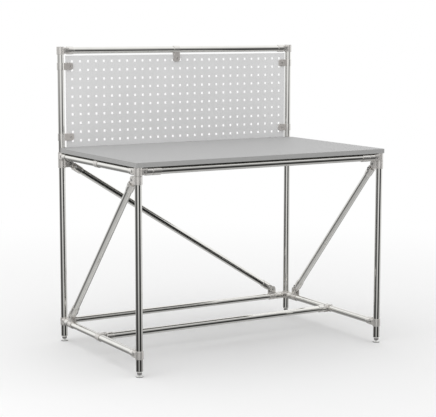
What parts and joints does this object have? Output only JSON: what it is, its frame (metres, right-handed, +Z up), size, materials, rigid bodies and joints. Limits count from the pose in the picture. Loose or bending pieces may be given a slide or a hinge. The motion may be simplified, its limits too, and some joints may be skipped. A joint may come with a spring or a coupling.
{
  "type": "workshop table",
  "caption": "Workshop table: frame of clamped round tubes with diagonal braces, a laminate board on top, a perforated tool panel at the back and levelling feet.",
  "frame": {"origin": "on the floor, midway between the four feet", "axes": "+X along the width to the right as seen from the front, +Y to the back where the panel stands, +Z up"},
  "size_m": [1.202, 0.7517, 1.2865],
  "materials": {
    "tube_steel": "bright drawn tube",
    "joint_casting": "polished die casting",
    "panel_clamp": "satin die casting",
    "panel_sheet": "light grey powder coating",
    "laminate": "grey laminate on chipboard with a matching edge band",
    "leg_plug": "moulded nylon",
    "foot_steel": "zinc plated"
  },
  "bodies": {
    "frame": {"leg_front_left": "tube_steel", "leg_front_right": "tube_steel", "post_rear_left": "tube_steel", "post_rear_right": "tube_steel", "top_rail": "tube_steel", "upper_rail_front": "tube_steel", "upper_rail_rear": "tube_steel", "upper_rail_centre": "tube_steel", "upper_rail_left": "tube_steel", "upper_rail_right": "tube_steel", "lower_rail_rear": "tube_steel", "lower_rail_centre": "tube_steel", "lower_rail_left": "tube_steel", "lower_rail_right": "tube_steel", "brace_left": "tube_steel", "brace_right": "tube_steel", "brace_rear": "tube_steel", "corner_joint_front_left": "joint_casting", "corner_joint_front_right": "joint_casting", "corner_joint_rear_left": "joint_casting", "corner_joint_rear_right": "joint_casting", "foot_joint_front_left": "joint_casting", "foot_joint_front_right": "joint_casting", "foot_joint_rear_left": "joint_casting", "foot_joint_rear_right": "joint_casting", "upper_tee_left": "joint_casting", "upper_tee_right": "joint_casting", "lower_tee_left": "joint_casting", "lower_tee_right": "joint_casting", "top_joint_left": "joint_casting", "top_joint_right": "joint_casting", "brace_left_upper_fork": "joint_casting", "brace_left_lower_fork": "joint_casting", "brace_left_upper_tongue": "joint_casting", "brace_left_lower_tongue": "joint_casting", "brace_right_upper_fork": "joint_casting", "brace_right_lower_fork": "joint_casting", "brace_right_upper_tongue": "joint_casting", "brace_right_lower_tongue": "joint_casting", "brace_rear_upper_fork": "joint_casting", "brace_rear_lower_fork": "joint_casting", "brace_rear_upper_tongue": "joint_casting", "brace_rear_lower_tongue": "joint_casting", "board_clamp_left": "joint_casting", "board_clamp_right": "joint_casting", "panel_clamp_upper_left": "panel_clamp", "panel_clamp_upper_right": "panel_clamp", "panel_clamp_lower_left": "panel_clamp", "panel_clamp_lower_right": "panel_clamp", "panel_clamp_top": "panel_clamp", "perforated_panel": "panel_sheet", "worktop": "laminate", "leg_plug_front_left": "leg_plug", "leg_plug_front_right": "leg_plug", "leg_plug_rear_left": "leg_plug", "leg_plug_rear_right": "leg_plug"},
    "foot_front_left": {"levelling_foot_front_left": "foot_steel"},
    "foot_front_right": {"levelling_foot_front_right": "foot_steel"},
    "foot_rear_left": {"levelling_foot_rear_left": "foot_steel"},
    "foot_rear_right": {"levelling_foot_rear_right": "foot_steel"}
  },
  "joints": [
    {"name": "foot_front_left_screw", "type": "slide", "parent": "frame", "child": "foot_front_left", "axis": [0, 0, -1], "range_m": [-0.0025, 0.02]},
    {"name": "foot_front_right_screw", "type": "slide", "parent": "frame", "child": "foot_front_right", "axis": [0, 0, -1], "range_m": [-0.0025, 0.02]},
    {"name": "foot_rear_left_screw", "type": "slide", "parent": "frame", "child": "foot_rear_left", "axis": [0, 0, -1], "range_m": [-0.0025, 0.02]},
    {"name": "foot_rear_right_screw", "type": "slide", "parent": "frame", "child": "foot_rear_right", "axis": [0, 0, -1], "range_m": [-0.0025, 0.02]}
  ]
}
